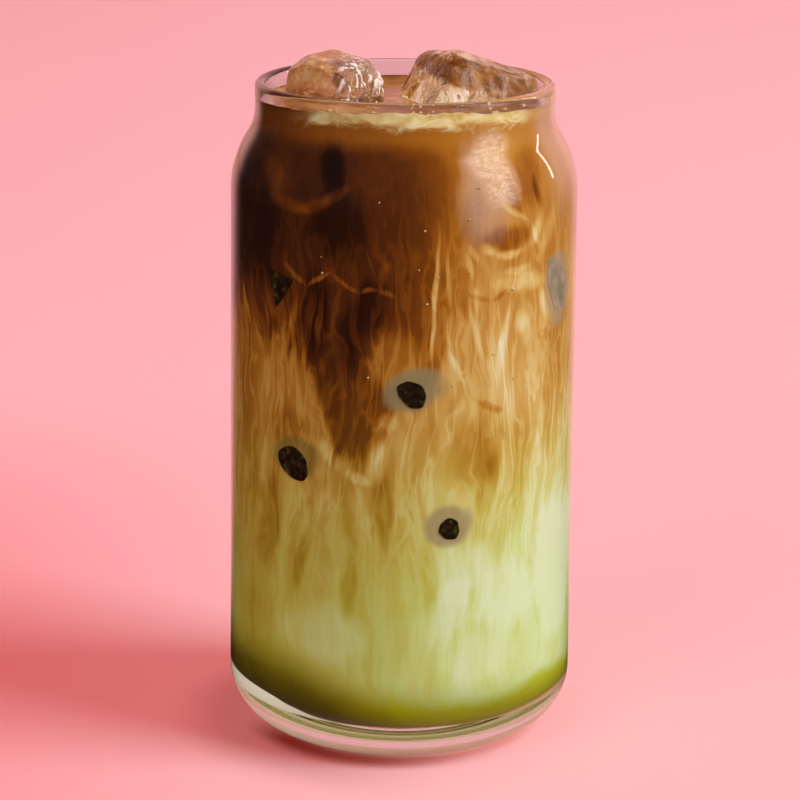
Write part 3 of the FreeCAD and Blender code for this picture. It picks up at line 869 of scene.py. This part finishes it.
def frothSpots(form):
    low, high = form["wallBeadSize"]
    surfaceHeight = level / mm
    neckReach = neckRadius / mm
    spots = []
    for _ in range(form["wallBeads"]):
        turn = math.radians(random.triangular(*form["wallArc"]))
        radius = low + (high - low) * random.random() ** 2.2
        reach = neckReach - radius * 0.75 - abs(random.gauss(0, 0.9))
        height = surfaceHeight + 0.9 + drinkForm["foamRise"] / mm * random.uniform(0.5, 1.2)
        spots.append((reach * math.sin(turn), -reach * math.cos(turn), height, radius))
    for block in floatingIce:
        edge = [v.co / mm for v in block.data.vertices if abs(v.co.z - level) < 0.35 * mm]
        for point in random.sample(edge, form["iceBeads"] // 2):
            radius = random.uniform(*form["iceBeadSize"])
            spots.append((point.x * 1.01, point.y * 1.01, surfaceHeight + 0.1, radius))
    for _ in range(form["surfaceBeads"]):
        turn = random.uniform(0, 2 * math.pi)
        reach = (neckReach - 0.6) * random.random() ** 0.35
        radius = random.uniform(*form["surfaceBeadSize"])
        spots.append((reach * math.sin(turn), -reach * math.cos(turn), surfaceHeight + 0.05, radius))
    return spots


def makeFroth(form):
    froth = scatterBeads("frothBubbles", frothSpots(form))
    ramp = rampOf((0.3, "c99a55"), (0.5, "e0c48c"), (0.7, "f0e0b8"))
    froth.data.materials.append(mottledMaterial("frothFilm", 0.6, 2, ramp, 0.15))
    finishPiece(froth, "milk")


def makeSpecks(form):  # tiny bubbles that cling to the inside of the wall
    foot, bend = form["shoulderFoot"], form["shoulderBend"]
    spots = []
    for _ in range(form["speckBeads"]):
        turn = math.radians(random.gauss(*form["speckArc"]))
        height = random.uniform(*form["speckHeights"])
        share = max(0.0, height - foot) * mm / glassForm["shoulderLength"]    # of the way up the shoulder
        inset = glassForm["neckInset"] * share ** bend
        reach = (bodyRadius - glassForm["wall"] - inset) / mm - 0.15
        radius = random.uniform(*form["speckSize"])
        spots.append((reach * math.sin(turn), -reach * math.cos(turn), height, radius))
    specks = scatterBeads("wallBubbles", spots)
    ramp = rampOf((0.3, "c98a3a"), (0.7, "f0d8a8"))
    specks.data.materials.append(mottledMaterial("brightBubble", 2.0, 1, ramp, 0.1))
    finishPiece(specks, "coffee")


makeFroth(frothForm)
makeSpecks(frothForm)
print("froth scattered")

stageLook = {
    "floorRadius": 6.0,
    "floorColour": (0.535, 0.48, 0.525),
    "floorPaintedShade": (0.50, 0.0, 0.0),       # painted shade, towards the unlit side
    "floorGlow": (0.46, 0.0, 0.0),
    "footGlow": (0.62, 0.30, 0.26),      # painted glow for the light that the thick base gathers under it
    "floorBounce": (0.58, 0.50, 0.50),
    "contactShade": (0.05, 0.025, 0.006),
    "floorMirrored": (0.02, 0.012, 0.012),
    "wallShown": (0.98, 0.46, 0.48),
    "wallMirrored": (0.04, 0.03, 0.03),
    "wallBounce": (0.39, 0.34, 0.31),
    "aim": Vector((0, 0, 0.0729)),
    "distance": 0.650,
    "elevation": math.radians(15.12),
    "roll": math.radians(0.61),
    "lens": 132.6,
    "shift": -0.00235,                   # of the picture's width
}


def darkStudio(start, x, y, least):  # 1 for a ray mirrored off the glass's outside, but 0 behind the glass
    passed = start.node("ShaderNodeLightPath", out="Transmission Depth")
    return rayIs(start, "Glossy") * passed.rise(1.0, 0.0) * (y / (x.math("ABSOLUTE") + least)).rise(1.9, 0.8)


def makeFloorMaterial(look):
    material, start, shader = newMaterial("pinkPaper", {"Roughness": 0.9, "Specular IOR Level": 0.0,
                                                        "Emission Strength": 1.0})
    isDiffuse = rayIs(start, "Diffuse")
    _, x, y, _ = objectPlace(start)
    radius = (x * x + y * y).math("SQRT")
    mirrored = darkStudio(start, x, y, 1.0) * radius.rise(38, 50)
    deepestPaintedShade = radius.rise(37, 31) * x.rise(30, -8) * y.rise(-4, -20) * 0.60    # painted contact shadow beside the foot
    # painted shade: less than 1 where a shadow is painted beside and in front of the foot
    contact = 1.0 - deepestPaintedShade - radius.rise(54, 36) * x.rise(16, -30) * y.rise(50, 10) * 0.38
    # painted shade: the floor darkens broadly to the left
    paintedLeftShade = x.rise(10, -170) * y.rise(300, 60) * 0.42 + x.rise(60, -300) * 0.08
    colour = paintedLeftShade.blend(look["floorColour"], look["floorPaintedShade"])
    colour = isDiffuse.blend(colour, look["floorBounce"])
    colour = contact.blend(look["contactShade"], colour)
    mirrored.blend(colour, look["floorMirrored"]).feed(shader, "Base Color")
    # the camera's glow dims under the painted shadow too
    shown = (1.0 - isDiffuse) * (1.0 - mirrored) * (contact * 0.7 + 0.3)
    # painted light: the floor under the foot glows
    glow = radius.rise(30, 26).blend(look["floorGlow"], look["footGlow"])
    shown.blend((0, 0, 0), glow).feed(shader, "Emission Color")
    return material


def makeFloor(look):
    deselectAll()
    bpy.ops.mesh.primitive_circle_add(vertices=96, radius=look["floorRadius"], fill_type="NGON")
    floor = bpy.context.object
    floor.name = "floor"
    floor.data.materials.append(makeFloorMaterial(look))


def backTo(turn, elevation):  # towards a lamp, from degrees round from the front and degrees up
    turn, elevation = math.radians(turn), math.radians(elevation)
    flat = math.cos(elevation)
    return Vector((math.sin(turn) * flat, -math.cos(turn) * flat, math.sin(elevation)))


def makeLamp(name, turn, elevation, distance, size, radiance, inLight=True, inGloss=False, through=False):
    lampData = bpy.data.lights.new(name, "AREA")
    lampData.shape = "RECTANGLE"
    lampData.size, lampData.size_y = size
    lampData.energy = radiance * math.pi * size[0] * size[1]
    lamp = bpy.data.objects.new(name, lampData)
    bpy.context.scene.collection.objects.link(lamp)
    back = backTo(turn, elevation)
    lamp.location = stageLook["aim"] + back * distance
    lamp.rotation_euler = (-back).to_track_quat("-Z", "Y").to_euler()
    lamp.visible_diffuse = inLight
    lamp.visible_glossy = inGloss
    lamp.visible_transmission = through


def makeSoftBox(name, turn, elevation, distance, size, radiance):  # a glowing sheet with soft edges
    back = backTo(turn, elevation)
    deselectAll()
    bpy.ops.mesh.primitive_plane_add(size=2, location=stageLook["aim"] + back * distance)
    box = bpy.context.object
    box.name = name
    box.rotation_euler = back.to_track_quat("Z", "Y").to_euler()
    box.scale = (size[0] / 2, size[1] / 2, 1)
    material, start, shader = newMaterial(name, {"Base Color": (0, 0, 0, 1), "Specular IOR Level": 0,
                                                 "Emission Strength": radiance})
    place = start.node("ShaderNodeTexCoord", out=3)
    across, upward = (side.math("ABSOLUTE").rise(1.0, 0.35) for side in place.parts()[:2])
    dapple = place.stretch(1, 3, 1).grain(3.0, 4, 0.75, 0.8).rise(0.36, 0.62) * 0.85 + 0.15
    (across * upward * dapple).blend((0, 0, 0), (1.0, 0.90, 0.88)).feed(shader, "Emission Color")
    box.data.materials.append(material)
    box.visible_camera = box.visible_diffuse = box.visible_transmission = box.visible_shadow = False


def makeWorld(look):
    world = bpy.data.worlds.new("studio")
    bpy.context.scene.world = world
    world.use_nodes = True
    start = Wire(world.node_tree)
    background = world.node_tree.nodes["Background"]
    x, y, z = start.node("ShaderNodeTexCoord", out=0).parts()
    mirrored = darkStudio(start, x, y, 0.001) * z.rise(0.95, 0.80)
    shown = mirrored.blend(look["wallShown"], look["wallMirrored"])
    rayIs(start, "Diffuse").blend(shown, look["wallBounce"]).feed(background, "Color")
    setInputs(background, {"Strength": 1.0})


def makeCamera(look):
    cameraData = bpy.data.cameras.new("camera")
    cameraData.lens = look["lens"]
    cameraData.sensor_width = 36
    camera = bpy.data.objects.new("camera", cameraData)
    bpy.context.scene.collection.objects.link(camera)
    back = Vector((0, -math.cos(look["elevation"]), math.sin(look["elevation"])))
    camera.location = look["aim"] + back * look["distance"]
    upright = (-back).to_track_quat("-Z", "Y").to_matrix()
    camera.rotation_euler = (upright @ Matrix.Rotation(look["roll"], 3, "Z")).to_euler()
    cameraData.shift_x = look["shift"]
    bpy.context.scene.camera = camera


makeFloor(stageLook)
makeWorld(stageLook)
# A lamp's numbers are degrees round from the front, positive to the right, degrees up, metres away, size in
# metres and brightness.
makeLamp("keyWindow", 74, 38, 6.0, (2.8, 4.2), 10.2, through=True)
makeLamp("edgeReflection", 118, 24, 3.0, (0.12, 1.9), 9.0, inLight=False, inGloss=True)
makeLamp("frontFill", -38, 20, 4.0, (2.5, 2.5), 2.0)
makeSoftBox("softReflection", 70, 29, 3.0, (2.0, 4.6), 6.0)
makeCamera(stageLook)
bpy.context.scene.view_settings.view_transform = "Standard"
print("stage lit")
